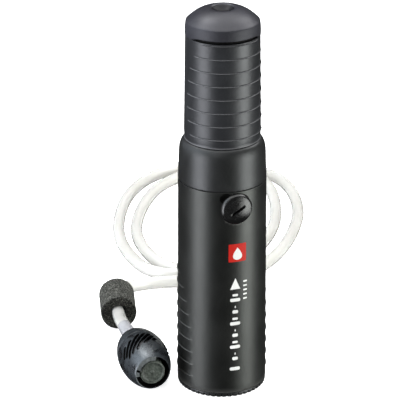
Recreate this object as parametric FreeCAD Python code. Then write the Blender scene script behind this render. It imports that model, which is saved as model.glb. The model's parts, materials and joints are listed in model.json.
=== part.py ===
import FreeCAD, Part
import math
import os
from FreeCAD import Vector as V

# Hand-held pump water filter: a tall round housing with a pull-up pump handle, an intake hose with a
# foam float, and an egg-shaped prefilter at the hose's end.
# Millimetres. Origin: centre of the foot's flat face. +Z up along the pump, -Y the front.

os.makedirs("parts", exist_ok=True)

# ---- driving dimensions -------------------------------------------------------------------------
UP = V(0, 0, 1)
FRONT = V(0, -1, 0)

foot_radius = 29.7
foot_height = 3.2
foot_notches = 48
housing_bottom_radius = 29.9
housing_top_radius = 29.1
seam_z = 148.6
housing_bore = 27.4
valve_bay_bore = 25.0
valve_bay_z = 124.0

handle_rim_z = 177.0
handle_rim_radius = 25.2
handle_top_radius = 24.2
sleeve_top_z = 247.8
cap_skirt_z = 249.8
dome_base_z = 251.4
dome_height = 14.8
handle_ridge_first_z = 183.2
handle_ridge_pitch = 9.06
handle_ridges = 8

grip_ridge_first_z = 12.1
grip_ridge_pitch = 8.9
grip_ridges = 9

barrel_bore = 8.2
barrel_wall = 2.0
barrel_floor_z = 43.5
barrel_top_z = 127.0
rod_radius = 4.5
running_gap = 0.06
rod_spindle_radius = 3.0
piston_z = 48.0
piston_height = 8.0

plug_z = 137.0
plug_radius = 10.6
plug_pocket_radius = 10.9
plug_pocket_depth_y = 27.8
plug_shank_radius = 5.0
plug_slot_length = 13.0
plug_slot_width = 1.8
plug_slot_angle = 31.0
plug_edge_y = 30.9
plug_dome_height = 2.4

valve_offset = 15.0
valve_chamber_radius = 3.0
valve_chamber_z = 131.0
valve_chamber_height = 8.0
valve_ball_radius = 2.6

inlet_z = 137.0
outlet_z = 116.0
nipple_shank_radius = 3.98
outlet_pin_radius = 3.2
outlet_pin_length = 10.0

hose_radius = 4.5
hose_bore = 2.5
hose_start_y = 32.0

egg_radius = 16.8
egg_half_length = 32.0
egg_wall = 1.6
egg_centre = V(-51.5, 11.9, 17.0)
egg_heading = 1.4
egg_seam = -8.5
egg_front = 22.6
egg_cap_radius = 8.5
egg_mouth_radius = 11.5
egg_plate_z = 14.0
egg_lug_angle = 100.0
egg_lug_start = 168.0

float_radius = 12.75
float_length = 32.0
float_bore = 5.3


# ---- helpers ------------------------------------------------------------------------------------
def save(node, shape):
    """Write one node and print its volume."""
    shape.exportStep("parts/" + node + ".step")
    print(node, "valid", shape.isValid(), "volume", round(shape.Volume, 1))


def turned(outline, angle=360.0, start=0.0):
    """Solid of revolution about Z from (radius, z) points, starting start degrees from the front."""
    points = [V(0, -r, z) for r, z in outline]
    face = Part.Face(Part.makePolygon(points + points[:1]))
    face.rotate(V(0, 0, 0), UP, start)
    return face.revolve(V(0, 0, 0), UP, angle)


def rod(radius, start, end):
    """Round rod between two points."""
    way = end - start
    return Part.makeCylinder(radius, way.Length, start, way)


def tube(outer, inner, start, end):
    return rod(outer, start, end).cut(rod(inner, start, end))


def at(z):
    return V(0, 0, z)


def around_z(shape, count):
    """Copies of a shape spaced evenly about the pump's axis, as one compound."""
    copies = []
    for k in range(count):
        copy = shape.copy()
        copy.rotate(V(0, 0, 0), UP, 360.0 * k / count)
        copies.append(copy)
    return Part.makeCompound(copies)


def seal_ring(major, section, centre, axis=UP):
    return Part.makeTorus(major, section, centre, axis)


def drafted(z, low_z, low_radius, high_z, high_radius):
    """Radius at height z of a straight draft between two heights."""
    return low_radius + (high_radius - low_radius) * (z - low_z) / (high_z - low_z)


# ---- foot and housing ---------------------------------------------------------------------------
def housing_radius(z):
    return drafted(z, foot_height, housing_bottom_radius, seam_z, housing_top_radius)


def make_foot():
    spigot = housing_bore - 0.15
    groove = spigot - 1.7
    cap = turned([(0, 0), (foot_radius - 0.8, 0), (foot_radius, 0.8), (foot_radius, foot_height),
                  (spigot, foot_height), (spigot, 7.0), (groove, 7.0), (groove, 9.2), (spigot, 9.2),
                  (spigot, 14.0), (spigot - 3.4, 14.0), (spigot - 3.4, 3.4), (0, 3.4)])
    notch = Part.makeBox(1.4, 1.2, 2.4, V(-0.7, -foot_radius - 0.6, -0.2))
    key_slot = Part.makeBox(9.0, 2.4, 1.6, V(8.0, -1.2, -0.1))
    save("foot_cap", cap.cut(around_z(notch, foot_notches)).cut(around_z(key_slot, 2)))
    save("foot_oring", seal_ring(groove + 0.9, 0.88, at(8.1)))


def make_housing():
    low = foot_height + 0.05
    body = turned([(housing_bore, low), (housing_radius(low), low), (housing_radius(seam_z), seam_z),
                   (valve_bay_bore, seam_z), (valve_bay_bore, valve_bay_z + 2.4),
                   (housing_bore, valve_bay_z)])
    ridges = []
    for k in range(grip_ridges):
        z = grip_ridge_first_z + grip_ridge_pitch * k
        spread = 53.0 * math.sqrt(1.0 - ((z - 20.0) / 72.0) ** 2)
        r = housing_radius(z)
        outline = [(r - 0.5, z - 1.2), (r + 0.02, z - 1.1), (r + 0.38, z), (r + 0.02, z + 1.1),
                   (r - 0.5, z + 1.2)]
        for side in (-115.0, 115.0):
            ridges.append(turned(outline, 2.0 * spread, side - spread))
    body = body.fuse(ridges)
    pocket = rod(plug_pocket_radius, V(0, -plug_pocket_depth_y, plug_z), V(0, -35.0, plug_z))
    bore = rod(plug_shank_radius + running_gap, V(0, -20.0, plug_z), V(0, -30.0, plug_z))
    inlet = rod(nipple_shank_radius + 0.02, V(0, 20.0, inlet_z), V(0, 32.0, inlet_z))
    outlet = rod(nipple_shank_radius + 0.02, V(0, 20.0, outlet_z), V(0, 32.0, outlet_z))
    save("filter_housing", body.cut([pocket, bore, inlet, outlet]))


def make_upper_housing():
    """Shoulder shell above the seam, closed by a roof with a locating neck for the handle."""
    outer = [(29.1, seam_z + 0.05), (29.1, 150.0), (28.8, 155.0), (28.6, 160.0), (28.5, 166.0),
             (28.3, 170.0), (27.7, 172.7), (26.6, 175.3), (25.3, handle_rim_z - 0.2)]
    inner = [(20.5, handle_rim_z - 0.2), (20.5, 189.0), (19.7, 189.8), (18.5, 189.8), (18.5, 176.0),
             (12.1, 176.0), (12.1, 168.0), (9.05, 168.0), (9.05, 165.6), (14.5, 165.6), (14.5, 173.0),
             (25.4, 173.0), (26.4, 169.0), (26.6, 160.0), (26.8, seam_z + 0.05)]
    save("upper_housing", turned(outer + inner))


# ---- pump mechanism -----------------------------------------------------------------------------
def make_barrel():
    outer = barrel_bore + barrel_wall
    barrel = turned([(0, barrel_floor_z - 1.5), (outer, barrel_floor_z - 1.5), (outer, barrel_top_z - 3.0),
                     (outer + 3.0, barrel_top_z - 3.0), (outer + 3.0, barrel_top_z),
                     (barrel_bore, barrel_top_z), (barrel_bore, barrel_floor_z), (0, barrel_floor_z)])
    port = rod(1.2, V(0, -5.5, barrel_floor_z - 3.0), V(0, -5.5, barrel_floor_z + 1.0))
    save("pump_barrel", barrel.cut(around_z(port, 4)))


def make_valve_block():
    """Round block with a gland for the rod and an upright ball-valve chamber at the rear and the front."""
    low = barrel_top_z + 0.05
    edge = valve_bay_bore - 0.1
    block = turned([(rod_radius + 0.5, low), (edge, low), (edge, 129.0), (edge - 1.6, 129.0),
                    (edge - 1.6, 131.2), (edge, 131.2), (edge, 148.0), (rod_radius + 0.5, 148.0)])
    cuts = []
    for side in (-1.0, 1.0):
        y = side * valve_offset
        cuts.append(rod(valve_chamber_radius, V(0, y, valve_chamber_z),
                        V(0, y, valve_chamber_z + valve_chamber_height)))
        cuts.append(rod(1.3, V(0, y, low - 1.0), V(0, y, valve_chamber_z + 0.5)))
    cuts.append(rod(1.8, V(0, valve_offset, inlet_z), V(0, 26.0, inlet_z)))
    cuts.append(rod(plug_shank_radius + running_gap, V(0, -19.0, plug_z), V(0, -26.0, plug_z)))
    cuts.append(rod(1.8, V(0, -valve_offset, plug_z), V(0, -20.0, plug_z)))
    save("valve_block", block.cut(cuts))
    save("valve_block_oring", seal_ring(edge - 0.75, 0.8, at(130.1)))


def make_valve_balls():
    rest_z = valve_chamber_z + valve_ball_radius + 0.05
    save("inlet_valve_ball", Part.makeSphere(valve_ball_radius, V(0, valve_offset, rest_z)))
    save("delivery_valve_ball", Part.makeSphere(valve_ball_radius, V(0, -valve_offset, rest_z)))


def make_rod_seals():
    gap = rod_radius + running_gap
    save("rod_guide_bush", turned([(gap, 162.0), (11.0, 162.0), (11.0, 165.5), (8.95, 165.5), (8.95, 175.9),
                                   (gap, 175.9)]))
    save("rod_wiper_seal", turned([(gap, 176.0), (7.0, 176.0), (7.0, 178.4), (gap + 1.0, 178.4),
                                   (gap, 177.6)]))
    nut = turned([(rod_radius + 0.6, 178.5), (7.1, 178.5), (7.1, 176.0), (11.9, 176.0), (11.9, 183.0),
                  (11.0, 184.0), (rod_radius + 1.4, 184.0), (rod_radius + 0.6, 183.2)])
    flute = rod(1.3, V(0, -12.4, 175.0), V(0, -12.4, 185.0))
    save("rod_gland_nut", nut.cut(around_z(flute, 12)))


def make_piston():
    top = piston_z + piston_height
    rod_low = top + 0.05
    shoulder = 240.0
    save("piston_rod", turned([(0, piston_z - 2.3), (2.5, piston_z - 2.3), (2.5, rod_low),
                               (rod_radius, rod_low), (rod_radius, shoulder), (rod_spindle_radius, shoulder),
                               (rod_spindle_radius, 251.0), (1.6, 251.0), (1.6, 241.0), (0, 241.0)]))
    edge = barrel_bore - 0.3
    save("piston_head", turned([(2.55, piston_z), (edge, piston_z), (edge, piston_z + 2.6),
                                (edge - 2.0, piston_z + 2.6), (edge - 2.0, top - 2.6), (edge, top - 2.6),
                                (edge, top), (2.55, top)]))
    save("piston_ring", turned([(edge - 1.95, piston_z + 2.7), (barrel_bore - running_gap, piston_z + 2.7),
                                (barrel_bore - running_gap, top - 2.7), (edge - 1.95, top - 2.7)]))
    nut = Part.Face(Part.makePolygon([V(4.4 * math.cos(a), 4.4 * math.sin(a), piston_z - 2.3)
                                      for a in [k * math.pi / 3 for k in range(7)]])).extrude(at(2.25))
    save("piston_nut", nut.cut(rod(2.55, at(piston_z - 3.0), at(piston_z + 1.0))))
    save("handle_screw", turned([(0, 243.0), (1.5, 243.0), (1.5, 251.05), (5.0, 251.05), (5.0, 252.6),
                                 (4.2, 253.6), (0, 253.6)]))


# ---- handle -------------------------------------------------------------------------------------
def sleeve_radius(z):
    return drafted(z, handle_rim_z + 1.0, handle_rim_radius, cap_skirt_z, handle_top_radius)


def make_sleeve():
    inner_low = 23.4
    inner_high = 22.9
    sleeve = turned([(inner_low, handle_rim_z), (handle_rim_radius - 0.5, handle_rim_z),
                     (handle_rim_radius, handle_rim_z + 0.6),
                     (sleeve_radius(sleeve_top_z - 0.5), sleeve_top_z - 0.5),
                     (sleeve_radius(sleeve_top_z) - 0.5, sleeve_top_z), (inner_high, sleeve_top_z)])
    ridges = []
    for k in range(handle_ridges):
        z = handle_ridge_first_z + handle_ridge_pitch * k
        spread = 100.0 * math.sqrt(1.0 - ((z - 208.0) / 48.0) ** 2)
        r = sleeve_radius(z)
        outline = [(r - 0.5, z - 1.0), (r + 0.02, z - 0.9), (r + 0.5, z + 0.1), (r + 0.02, z + 1.3),
                   (r - 0.5, z + 1.4)]
        ridges.append(turned(outline, 2.0 * spread, -spread))
    save("handle_sleeve", sleeve.fuse(ridges))


def make_cap():
    """Domed cap whose spigot fits the sleeve and whose boss turns on the rod's spindle."""
    recess = 7.4
    floor_z = 263.0
    rise = [90.0 - 10.0 * k for k in range(8)]
    dome = []
    for angle in rise:
        a = math.radians(angle)
        dome.append(V(0, -handle_top_radius * math.sin(a), dome_base_z + dome_height * math.cos(a) ** 0.85))
    rim_a = math.asin(recess / handle_top_radius)
    rim = V(0, -recess, dome_base_z + dome_height * math.cos(rim_a) ** 0.85)
    curve = Part.BSplineCurve()
    curve.interpolate(dome + [rim])
    bore = rod_spindle_radius + running_gap
    lines = [rim, V(0, -recess, floor_z), V(0, -5.8, floor_z), V(0, -5.8, 251.0), V(0, -bore, 251.0),
             V(0, -bore, 240.1), V(0, -8.0, 240.1), V(0, -8.0, 250.5), V(0, -21.0, 250.5), V(0, -21.0, 242.0),
             V(0, -22.8, 242.0), V(0, -22.8, cap_skirt_z), V(0, -handle_top_radius, cap_skirt_z), dome[0]]
    edges = [curve.toShape()]
    for a, b in zip(lines[:-1], lines[1:]):
        edges.append(Part.makeLine(a, b))
    cap = Part.Face(Part.Wire(edges)).revolve(V(0, 0, 0), UP, 360.0)
    save("handle_cap", cap)
    plug_top = floor_z + 1.2
    save("handle_plug", turned([(0, floor_z + 0.02), (recess - 0.1, floor_z + 0.02), (recess - 0.1, plug_top),
                                (recess - 0.6, plug_top + 0.3), (0, plug_top)]))


# ---- filter elements ----------------------------------------------------------------------------
def make_elements():
    case = turned([(5.0, 14.3), (27.2, 14.3), (27.2, 41.0), (5.0, 41.0), (5.0, 39.6),
                   (26.0, 39.6), (26.0, 15.7), (5.0, 15.7)])
    hole = rod(1.6, V(0, -17.0, 10.0), V(0, -17.0, 45.0))
    save("carbon_casing", case.cut(around_z(hole, 10)))
    save("carbon_granulate", rod(25.9, at(15.8), at(39.5)))
    tight = barrel_bore + barrel_wall + 0.3
    save("candle_lower_cap", turned([(tight, 41.3), (21.8, 41.3), (21.8, 50.0), (21.1, 50.0), (21.1, 47.0),
                                     (tight, 47.0)]))
    save("ceramic_candle", turned([(13.5, 47.1), (21.0, 47.1), (21.0, 117.9), (13.5, 117.9)]))
    save("candle_upper_cap", turned([(13.5, 118.0), (21.1, 118.0), (21.1, 115.0), (21.8, 115.0),
                                     (21.8, 123.0), (13.5, 123.0)]))
    save("candle_oring", seal_ring(17.0, 1.0, at(124.1)))
    riser = tube(1.9, 1.2, V(0, 24.5, 41.3), V(0, 24.5, 119.0))
    port = rod(0.9, V(0, 24.5, outlet_z), V(0, 27.0, outlet_z))
    save("clean_water_riser", riser.cut(port))


# ---- access plug and nipples --------------------------------------------------------------------
def make_access_plug():
    """Domed screw plug with a coin slot, turned from the front."""
    low = plug_pocket_depth_y + 0.3
    profile = [(0, 20.0), (plug_shank_radius, 20.0), (plug_shank_radius, 22.0),
               (plug_shank_radius - 1.2, 22.0), (plug_shank_radius - 1.2, 23.8),
               (plug_shank_radius, 23.8), (plug_shank_radius, low),
               (plug_radius, low), (plug_radius, plug_edge_y - 0.4), (plug_radius - 0.4, plug_edge_y)]
    dome = []
    for k in range(8):
        share = 1.0 - (k + 1) / 8.0
        dome.append(((plug_radius - 0.4) * share, plug_edge_y + plug_dome_height * (1.0 - share ** 2)))
    plug = turned(profile + dome)
    plug.rotate(V(0, 0, 0), V(1, 0, 0), 90.0)
    plug.translate(at(plug_z))
    slot = Part.makeBox(plug_slot_length, 3.0, plug_slot_width,
                        V(-plug_slot_length / 2.0, -34.2, -plug_slot_width / 2.0))
    slot.rotate(V(0, 0, 0), FRONT, plug_slot_angle)
    slot.translate(at(plug_z))
    save("access_plug", plug.cut(slot))
    save("access_plug_oring", seal_ring(plug_shank_radius - 0.6, 0.58, V(0, -22.9, plug_z), FRONT))


def make_nipples():
    inlet = rod(nipple_shank_radius, V(0, 25.05, inlet_z), V(0, 29.3, inlet_z))
    inlet = inlet.fuse(rod(6.4, V(0, 29.25, inlet_z), V(0, hose_start_y, inlet_z)))
    inlet = inlet.fuse(rod(hose_bore - 0.05, V(0, 30.0, inlet_z), V(0, hose_start_y + 10.5, inlet_z)))
    save("inlet_nipple", inlet.cut(rod(1.5, V(0, 20.0, inlet_z), V(0, 50.0, inlet_z))))
    pin_end_y = 32.0 + outlet_pin_length
    outlet = rod(nipple_shank_radius, V(0, 26.5, outlet_z), V(0, 29.5, outlet_z))
    outlet = outlet.fuse(rod(6.4, V(0, 29.4, outlet_z), V(0, 32.0, outlet_z)))
    outlet = outlet.fuse(rod(outlet_pin_radius, V(0, 31.0, outlet_z), V(0, pin_end_y, outlet_z)))
    save("outlet_nipple", outlet.cut(rod(1.6, V(0, 20.0, outlet_z), V(0, 50.0, outlet_z))))


# ---- intake hose --------------------------------------------------------------------------------
# From the inlet nipple the hose falls behind the pump, lies in two loose oval loops on the ground,
# passes through the float and ends at the prefilter.
hose_route = [
    (0, 32, 137), (0, 52.5, 137), (5, 71, 129), (17, 84, 108), (31, 94, 84), (43, 103, 60), (49.5, 117, 39),
    (47.5, 136, 25), (35, 149.5, 12), (16, 154.5, 4.6), (-1, 169, 4.6), (-6, 199, 4.6), (-4, 235, 4.6),
    (9, 276, 4.6), (29, 315, 4.6), (56, 345, 4.6), (86, 355, 4.6), (110, 346, 22.8), (127, 326, 22.8),
    (141, 294, 4.6), (133, 256, 4.6), (119, 219, 4.6), (95, 184, 4.6), (68, 161, 4.6), (41, 156, 4.6),
    (18, 172, 4.6), (8, 200, 4.6), (10, 238, 4.6), (27, 278, 4.6), (51, 312, 4.6), (79, 330, 4.6),
    (112.5, 338, 4.6), (142, 327.5, 4.6), (157, 297.5, 4.6), (149, 245, 4.6), (130, 205, 4.6),
    (102, 165, 4.6), (70, 140, 4.6), (39, 137.5, 4.6), (13, 145.5, 4.6), (-4, 148, 4.6), (-19, 145.5, 5.6),
    (-31.5, 137, 9), (-38.5, 124, 12.4), (-47.5, 86, 12.8), (-50.3, 62.2, 17), (-50.7, 45.3, 17)]


def tangent_path(points):
    """Straight runs joined by tangent arcs. Returns the wire, its length and the arcs' radii."""
    pts = [V(*p) for p in points]
    edges = []
    radii = []
    last = pts[0]
    for before, corner, after in zip(pts[:-2], pts[1:-1], pts[2:]):
        a = corner - before
        b = after - corner
        cut = 0.45 * min(a.Length, b.Length)
        half_turn = a.getAngle(b) / 2.0
        a.normalize()
        b.normalize()
        radii.append(cut / math.tan(half_turn))
        start = corner - a * cut
        end = corner + b * cut
        inward = (b - a).normalize()
        middle = corner + inward * (radii[-1] / math.cos(half_turn) - radii[-1])
        edges.append(Part.makeLine(last, start))
        edges.append(Part.Arc(start, middle, end).toShape())
        last = end
    edges.append(Part.makeLine(last, pts[-1]))
    return Part.Wire(edges), sum(e.Length for e in edges), radii


def swept(path, radius, start, heading):
    ring = Part.Wire(Part.Circle(start, heading, radius).toShape())
    return path.makePipeShell([ring], True, False)


def make_hose():
    path, length, radii = tangent_path(hose_route)
    start = V(*hose_route[0])
    heading = V(*hose_route[1]) - start
    hose = swept(path, hose_radius, start, heading).cut(swept(path, hose_bore, start, heading))
    section = math.pi * (hose_radius ** 2 - hose_bore ** 2)
    print("hose length", round(length, 1), "smallest radius", round(min(radii), 1))
    print("hose radii", [round(r) for r in radii])
    print("hose volume", round(hose.Volume), "section times length", round(section * length))
    save("hose", hose)


# ---- float --------------------------------------------------------------------------------------
float_start = V(*hose_route[-4])
float_heading = V(*hose_route[-3]) - float_start
float_heading.z = 0.0
float_heading.normalize()
float_centre = V(-42.1, 106.6, 12.8)


def make_float():
    half = float_heading * (float_length / 2.0)
    body = rod(float_radius, float_centre - half, float_centre + half)
    body = body.cut(rod(float_bore, float_centre - half * 2.0, float_centre + half * 2.0))
    save("float", body)
    print("float axis", [round(c, 4) for c in float_heading])


# ---- prefilter ----------------------------------------------------------------------------------
def egg(radius, half_length):
    """Egg-shaped solid about Z, centred on the origin."""
    outline = Part.Ellipse(V(0, 0, half_length), V(0, -radius, 0), V(0, 0, 0))
    whole = Part.Face(Part.Wire(outline.toShape()))
    half = whole.common(Part.makeBox(2.0, radius + 1.0, 2.0 * half_length + 2.0,
                                     V(-1.0, -radius - 1.0, -half_length - 1.0)))
    return half.Faces[0].revolve(V(0, 0, 0), UP, 360.0)


def lay(shape):
    """Lay a prefilter piece, drawn with its nose up +Z and its top towards +Y, in its place."""
    placed = shape.copy()
    placed.rotate(V(0, 0, 0), V(1, 0, 0), 90.0)
    placed.rotate(V(0, 0, 0), UP, -egg_heading)
    placed.translate(egg_centre)
    return placed


def make_slots():
    """Slanted intake slots: three oval patches of seven parallel slots."""
    slot_width = 1.7
    slot_slant = 42.0
    slot_step = 14.0
    slots = []
    for patch in (20.0, 140.0, 260.0):
        for k in range(-3, 4):
            reach = 11.4 * math.sqrt(1.0 - (k / 3.2) ** 2)
            lead = slot_step * k
            box = Part.makeBox(slot_width, 6.0, 2.0 * reach, V(-slot_width / 2.0, 12.4, -reach))
            box.rotate(V(0, 0, 0), V(0, 1, 0), -slot_slant)
            box.translate(at(4.5))
            box.rotate(V(0, 0, 0), UP, patch + lead)
            slots.append(box)
    return slots


def make_prefilter():
    ball = egg(egg_radius, egg_half_length)
    hollow = egg(egg_radius - egg_wall, egg_half_length - egg_wall)
    shell = ball.cut(hollow)
    slab = Part.makeBox(60, 60, 80, V(-30, -30, egg_seam + 0.05))
    front = shell.common(slab)
    front = front.cut(rod(30.0, at(egg_front), at(40.0)))
    mouth = rod(egg_mouth_radius, at(egg_plate_z + 1.6), at(30.0))
    bore = rod(egg_cap_radius + 0.35, at(10.0), at(30.0))
    plate = rod(14.8, at(egg_plate_z), at(egg_plate_z + 1.6)).common(ball)
    lug = rod(egg_radius, at(egg_plate_z), at(egg_front)).common(ball)
    wedge = turned([(0, 0), (30.0, 0), (30.0, 30.0), (0, 30.0)], egg_lug_angle, egg_lug_start)
    front = front.cut(mouth).fuse([plate, lug.common(wedge)]).cut(bore)
    save("prefilter_front_shell", lay(front.cut(make_slots())))
    rear = shell.cut(Part.makeBox(60, 60, 80, V(-30, -30, egg_seam - 0.05)))
    rear = rear.cut(rod(3.3, at(-40.0), at(-20.0)))
    save("prefilter_rear_shell", lay(rear))
    screen = tube(11.4, 10.9, at(-6.0), at(11.5))
    save("prefilter_screen", lay(screen))
    save("prefilter_weight", lay(tube(10.2, 3.4, at(-20.0), at(-9.0))))
    nipple = rod(3.25, at(-33.4), at(-22.0)).fuse(rod(5.0, at(-33.4), at(-31.6)))
    nipple = nipple.fuse(rod(hose_bore - 0.05, at(-42.5), at(-30.0)))
    save("prefilter_nipple", lay(nipple.cut(rod(1.5, at(-45.0), at(-20.0)))))
    rim = egg_cap_radius
    cap = turned([(0, 21.2), (7.2, 21.2), (7.4, 22.4), (rim - 0.6, 22.6), (rim, 22.1),
                  (rim, egg_plate_z - 0.3), (rim + 1.6, egg_plate_z - 0.3),
                  (rim + 1.6, egg_plate_z - 2.0), (6.0, egg_plate_z - 2.0),
                  (6.0, 19.4), (0, 19.4)])
    key_z = egg_plate_z + 2.0
    key = turned([(rim - 0.5, key_z), (rim + 1.8, key_z), (rim + 1.8, key_z + 2.0), (rim - 0.5, key_z + 2.0)],
                 30.0, 40.0)
    save("prefilter_cap", lay(cap.fuse([rod(1.5, at(20.0), at(22.0)), key])))


make_foot()
make_housing()
make_upper_housing()
make_barrel()
make_valve_block()
make_valve_balls()
make_rod_seals()
make_piston()
make_sleeve()
make_cap()
make_elements()
make_access_plug()
make_nipples()
make_hose()
make_float()
make_prefilter()
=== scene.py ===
import json
import math

import bmesh
import bpy
import numpy as np
from mathutils import Matrix, Vector


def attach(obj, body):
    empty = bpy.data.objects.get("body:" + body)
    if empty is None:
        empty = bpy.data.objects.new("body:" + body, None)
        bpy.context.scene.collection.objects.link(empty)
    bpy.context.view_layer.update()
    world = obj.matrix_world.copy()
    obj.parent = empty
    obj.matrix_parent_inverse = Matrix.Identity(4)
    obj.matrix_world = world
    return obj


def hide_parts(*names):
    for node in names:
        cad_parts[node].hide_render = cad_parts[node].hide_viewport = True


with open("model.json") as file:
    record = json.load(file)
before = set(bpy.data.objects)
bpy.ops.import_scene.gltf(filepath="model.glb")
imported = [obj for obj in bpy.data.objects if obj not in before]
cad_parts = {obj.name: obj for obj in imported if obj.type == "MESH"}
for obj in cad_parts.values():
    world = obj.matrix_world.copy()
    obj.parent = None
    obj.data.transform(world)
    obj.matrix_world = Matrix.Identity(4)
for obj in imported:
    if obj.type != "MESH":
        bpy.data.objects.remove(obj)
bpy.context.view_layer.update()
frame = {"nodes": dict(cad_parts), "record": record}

nodes = frame["nodes"]

# Metres in the scene, millimetres in the outlines. The pump stands on z = 0 with its long axis on z, its
# front towards -Y and the hose behind it. Azimuths are degrees from the front, growing towards +X.
MM = 0.001
rng = np.random.default_rng(7)


# ---- camera, light and floor ----------------------------------------------------------------------
def make_camera():
    """A long lens, 23.4 degrees down, 18.3 degrees to the left of the pump's front."""
    data = bpy.data.cameras.new("camera")
    data.sensor_width = 36.0
    data.lens = 207.0
    data.clip_end = 20.0
    camera = bpy.data.objects.new("camera", data)
    camera.location = (-0.4507, -1.3164, 0.7334)
    camera.rotation_euler = (math.radians(66.6), 0.0, math.radians(-18.3))
    bpy.context.scene.collection.objects.link(camera)
    bpy.context.scene.camera = camera


def area_light(name, place, aim, width, height, power):
    data = bpy.data.lights.new(name, "AREA")
    data.shape = "RECTANGLE"
    data.size = width
    data.size_y = height
    data.energy = power
    light = bpy.data.objects.new(name, data)
    light.location = place
    light.rotation_euler = (Vector(aim) - Vector(place)).to_track_quat("-Z", "Y").to_euler()
    bpy.context.scene.collection.objects.link(light)
    return light


def make_world():
    """White where the camera or a clear piece sees it, and dim as a light."""
    world = bpy.data.worlds.new("studio")
    world.use_nodes = True
    tree = world.node_tree
    background = tree.nodes["Background"]
    background.inputs["Color"].default_value = (1.0, 1.0, 1.0, 1.0)
    path = tree.nodes.new("ShaderNodeLightPath")
    seen = tree.nodes.new("ShaderNodeMath")
    seen.operation = "MAXIMUM"
    tree.links.new(path.outputs["Is Camera Ray"], seen.inputs[0])
    tree.links.new(path.outputs["Is Transmission Ray"], seen.inputs[1])
    strength = tree.nodes.new("ShaderNodeMapRange")
    strength.inputs["To Min"].default_value = 0.06
    strength.inputs["To Max"].default_value = 1.0
    tree.links.new(seen.outputs[0], strength.inputs["Value"])
    tree.links.new(strength.outputs["Result"], background.inputs["Strength"])
    bpy.context.scene.world = world


def make_studio():
    make_world()
    bpy.context.scene.view_settings.view_transform = "Standard"
    box = area_light("left_box", (-0.88, -0.18, -0.04), (0, 0, -0.04), 0.54, 0.84, 10.4)
    box.data.color = (0.94, 0.955, 1.0)
    box = area_light("right_box", (0.67, -0.61, -0.04), (0, 0, -0.04), 0.52, 0.84, 10.6)
    box.data.color = (0.97, 1.0, 0.97)
    area_light("top_panel", (0.0, 0.1, 1.6), (0, 0.1, 0), 1.8, 1.8, 31.0)
    side = area_light("left_high", (-1.25, 0.10, 1.0), (-0.05, 0.0, 0.05), 1.2, 1.2, 14.0)
    side.data.color = (0.84, 0.92, 1.0)
    area_light("front_high", (-0.95, -1.25, 1.15), (-0.05, 0.0, 0.05), 0.8, 0.8, 3.5)
    wing = area_light("left_wing", (-0.84, 0.86, 0.55), (0, 0, 0.1), 0.9, 0.9, 2.5)
    wing.data.color = (0.84, 0.91, 1.0)
    area_light("dome_left", (-0.45, 0.49, 1.30), (0, 0, 0.25), 0.45, 0.45, 6.0)
    area_light("dome_right", (0.92, 0.20, 1.14), (0, 0, 0.25), 0.6, 0.6, 8.5)
    bpy.ops.mesh.primitive_plane_add(size=8.0, location=(0, 0, 0))
    floor = bpy.context.object
    floor.name = "floor"
    floor.visible_glossy = False
    floor.visible_diffuse = False
    floor.visible_shadow = False
    paper = bpy.data.materials.new("paper")
    paper.use_nodes = True
    shader = paper.node_tree.nodes["Principled BSDF"]
    shader.inputs["Base Color"].default_value = (0.97, 0.97, 0.97, 1.0)
    shader.inputs["Roughness"].default_value = 1.0
    shader.inputs["Specular IOR Level"].default_value = 0.0
    shader.inputs["Emission Color"].default_value = (1.0, 1.0, 1.0, 1.0)
    shader.inputs["Emission Strength"].default_value = 0.8
    floor.data.materials.append(paper)


# ---- materials ------------------------------------------------------------------------------------
def shader_node(tree, kind, inputs=None, **settings):
    node = tree.nodes.new("ShaderNode" + kind)
    for key, value in settings.items():
        setattr(node, key, value)
    for key, value in (inputs or {}).items():
        node.inputs[key].default_value = value
    return node


def mixed(tree, factor, low, high, blend="MIX"):
    """A colour mix node's output. low and high are colours or sockets, and factor a number or a socket."""
    mix = tree.nodes.new("ShaderNodeMix")
    mix.data_type = "RGBA"
    mix.blend_type = blend
    for socket, value in ((mix.inputs[0], factor), (mix.inputs[6], low), (mix.inputs[7], high)):
        if isinstance(value, bpy.types.NodeSocket):
            tree.links.new(value, socket)
        elif isinstance(value, tuple):
            socket.default_value = (*value, 1.0)
        else:
            socket.default_value = value
    return mix.outputs[2]


def noise(tree, place, scale, detail=3.0, distortion=0.0):
    node = shader_node(tree, "TexNoise", {"Scale": scale, "Detail": detail, "Distortion": distortion})
    tree.links.new(place, node.inputs["Vector"])
    return node.outputs["Fac"]


def spread(tree, value, low, high, to_low, to_high):
    """A value remapped from low..high to to_low..to_high, clamped."""
    limits = {"From Min": low, "From Max": high, "To Min": to_low, "To Max": to_high}
    node = shader_node(tree, "MapRange", limits)
    tree.links.new(value, node.inputs["Value"])
    return node.outputs["Result"]


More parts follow.
